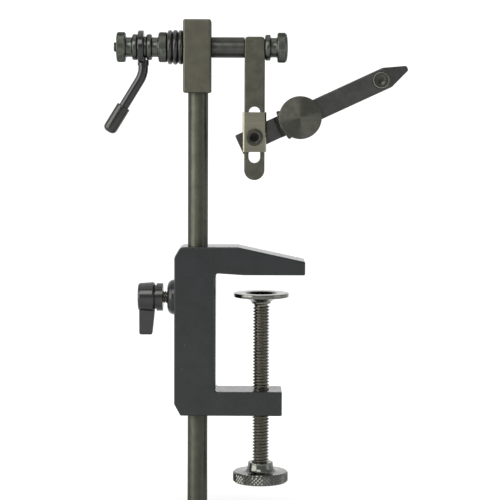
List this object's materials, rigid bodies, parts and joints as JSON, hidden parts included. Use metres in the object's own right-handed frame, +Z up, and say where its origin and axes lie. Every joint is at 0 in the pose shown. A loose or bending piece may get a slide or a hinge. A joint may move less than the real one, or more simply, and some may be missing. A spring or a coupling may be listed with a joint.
{
  "type": "fly tying vise",
  "caption": "Clamp-on rotary fly tying vise: table clamp, round stem, friction-braked rotary shaft with crank, slotted swing arm and long tapered jaws closed by a turned knob.",
  "frame": {"origin": "on the table seat under the upper clamp arm, on the clamp screw axis", "axes": "+Z up along the stem, +X towards the jaw tips, -Y the side of the jaw knob"},
  "size_m": [0.1432, 0.0264, 0.2413],
  "materials": {
    "casting_paint": "satin paint on a casting",
    "gloss_black": "gloss black enamel",
    "screw_steel": "blackened screw thread",
    "dark_steel": "blackened and oiled",
    "head_alloy": "fine matt anodised",
    "knob_alloy": "black anodised, knurled",
    "bare_steel": "bare, lightly brushed",
    "turned_steel": "turned face, blackened",
    "grip_plastic": "glossy dipped sleeve",
    "lock_plastic": "fine moulded texture",
    "ring_rubber": "matt nitrile rubber",
    "bush_bronze": "plain bearing bronze"
  },
  "bodies": {
    "clamp": {"clamp_body": "casting_paint"},
    "pad": {"clamp_pad": "gloss_black"},
    "screw": {"clamp_screw": "screw_steel", "clamp_thumbwheel": "gloss_black"},
    "lock": {"stem_lock_screw": "screw_steel", "stem_lock_knob": "lock_plastic"},
    "stem": {"stem": "dark_steel"},
    "head": {"head_block": "head_alloy", "shaft_bush": "bush_bronze"},
    "rotor": {"rotary_shaft": "dark_steel", "brake_ring_inner": "ring_rubber", "brake_ring_middle": "ring_rubber", "brake_ring_outer": "ring_rubber", "crank_washer": "dark_steel"},
    "drag": {"drag_knob": "knob_alloy"},
    "crank": {"crank_arm": "gloss_black", "crank_grip": "grip_plastic"},
    "crank_nut": {"crank_lock_knob": "knob_alloy"},
    "arm": {"swing_arm": "dark_steel"},
    "arm_nut": {"arm_lock_knob": "knob_alloy"},
    "carriage": {"slide_bracket": "bare_steel", "jaw_clamp_screw": "dark_steel"},
    "jaw": {"rear_jaw": "dark_steel", "jaw_ring": "ring_rubber", "jaw_adjust_screw": "dark_steel"},
    "rocker": {"front_jaw": "dark_steel"},
    "closer": {"jaw_knob": "turned_steel"}
  },
  "joints": [
    {"name": "pad_travel", "type": "slide", "parent": "clamp", "child": "pad", "axis": [0, 0, 1], "range_m": [-0.04, 0.009]},
    {"name": "clamp_screw_turn", "type": "hinge", "parent": "pad", "child": "screw", "pos_m": [0, 0, -0.06], "axis": [0, 0, 1], "range_deg": [-9700, 2200]},
    {"name": "stem_lock_turn", "type": "hinge", "parent": "clamp", "child": "lock", "pos_m": [-0.045, 0, -0.0114], "axis": [-1, 0, 0], "range_deg": [0, 360]},
    {"name": "stem_height", "type": "slide", "parent": "clamp", "child": "stem", "axis": [0, 0, 1], "range_m": [-0.02, 0.04]},
    {"name": "head_swivel", "type": "hinge", "parent": "stem", "child": "head", "pos_m": [-0.0302, 0, 0.092], "axis": [0, 0, 1], "continuous": true},
    {"name": "shaft_rotation", "type": "hinge", "parent": "head", "child": "rotor", "pos_m": [-0.0302, 0, 0.1068], "axis": [1, 0, 0], "continuous": true},
    {"name": "drag_knob_turn", "type": "hinge", "parent": "rotor", "child": "drag", "pos_m": [0, 0, 0.1068], "axis": [1, 0, 0], "range_deg": [-180, 180]},
    {"name": "crank_set", "type": "hinge", "parent": "rotor", "child": "crank", "pos_m": [0, 0, 0.1068], "axis": [1, 0, 0], "range_deg": [-180, 180]},
    {"name": "crank_nut_turn", "type": "hinge", "parent": "rotor", "child": "crank_nut", "pos_m": [0, 0, 0.1068], "axis": [-1, 0, 0], "range_deg": [0, 360]},
    {"name": "arm_set", "type": "hinge", "parent": "rotor", "child": "arm", "pos_m": [0, 0, 0.1068], "axis": [1, 0, 0], "range_deg": [-180, 180]},
    {"name": "arm_nut_turn", "type": "hinge", "parent": "rotor", "child": "arm_nut", "pos_m": [0, 0, 0.1068], "axis": [1, 0, 0], "range_deg": [0, 360]},
    {"name": "jaw_slide", "type": "slide", "parent": "arm", "child": "carriage", "axis": [0, 0, 1], "range_m": [-0.0094, 0.0115]},
    {"name": "jaw_tilt", "type": "hinge", "parent": "carriage", "child": "jaw", "pos_m": [-0.00358, 0, 0.0647], "axis": [0, -1, 0], "range_deg": [-55, 12]},
    {"name": "jaw_knob_turn", "type": "hinge", "parent": "jaw", "child": "closer", "pos_m": [0.01776, 0, 0.07406], "axis": [0, -1, 0], "range_deg": [0, 540]},
    {"name": "jaw_open", "type": "hinge", "parent": "jaw", "child": "rocker", "pos_m": [0.05577, -0.0023, 0.0917], "axis": [0.421, 0, -0.907], "range_deg": [0, 1.65]}
  ],
  "couplings": [
    {"joint": "clamp_screw_turn", "follows": "pad_travel", "rad_per_m": 4188.8},
    {"joint": "jaw_open", "follows": "jaw_knob_turn", "ratio": 0.0030388}
  ]
}
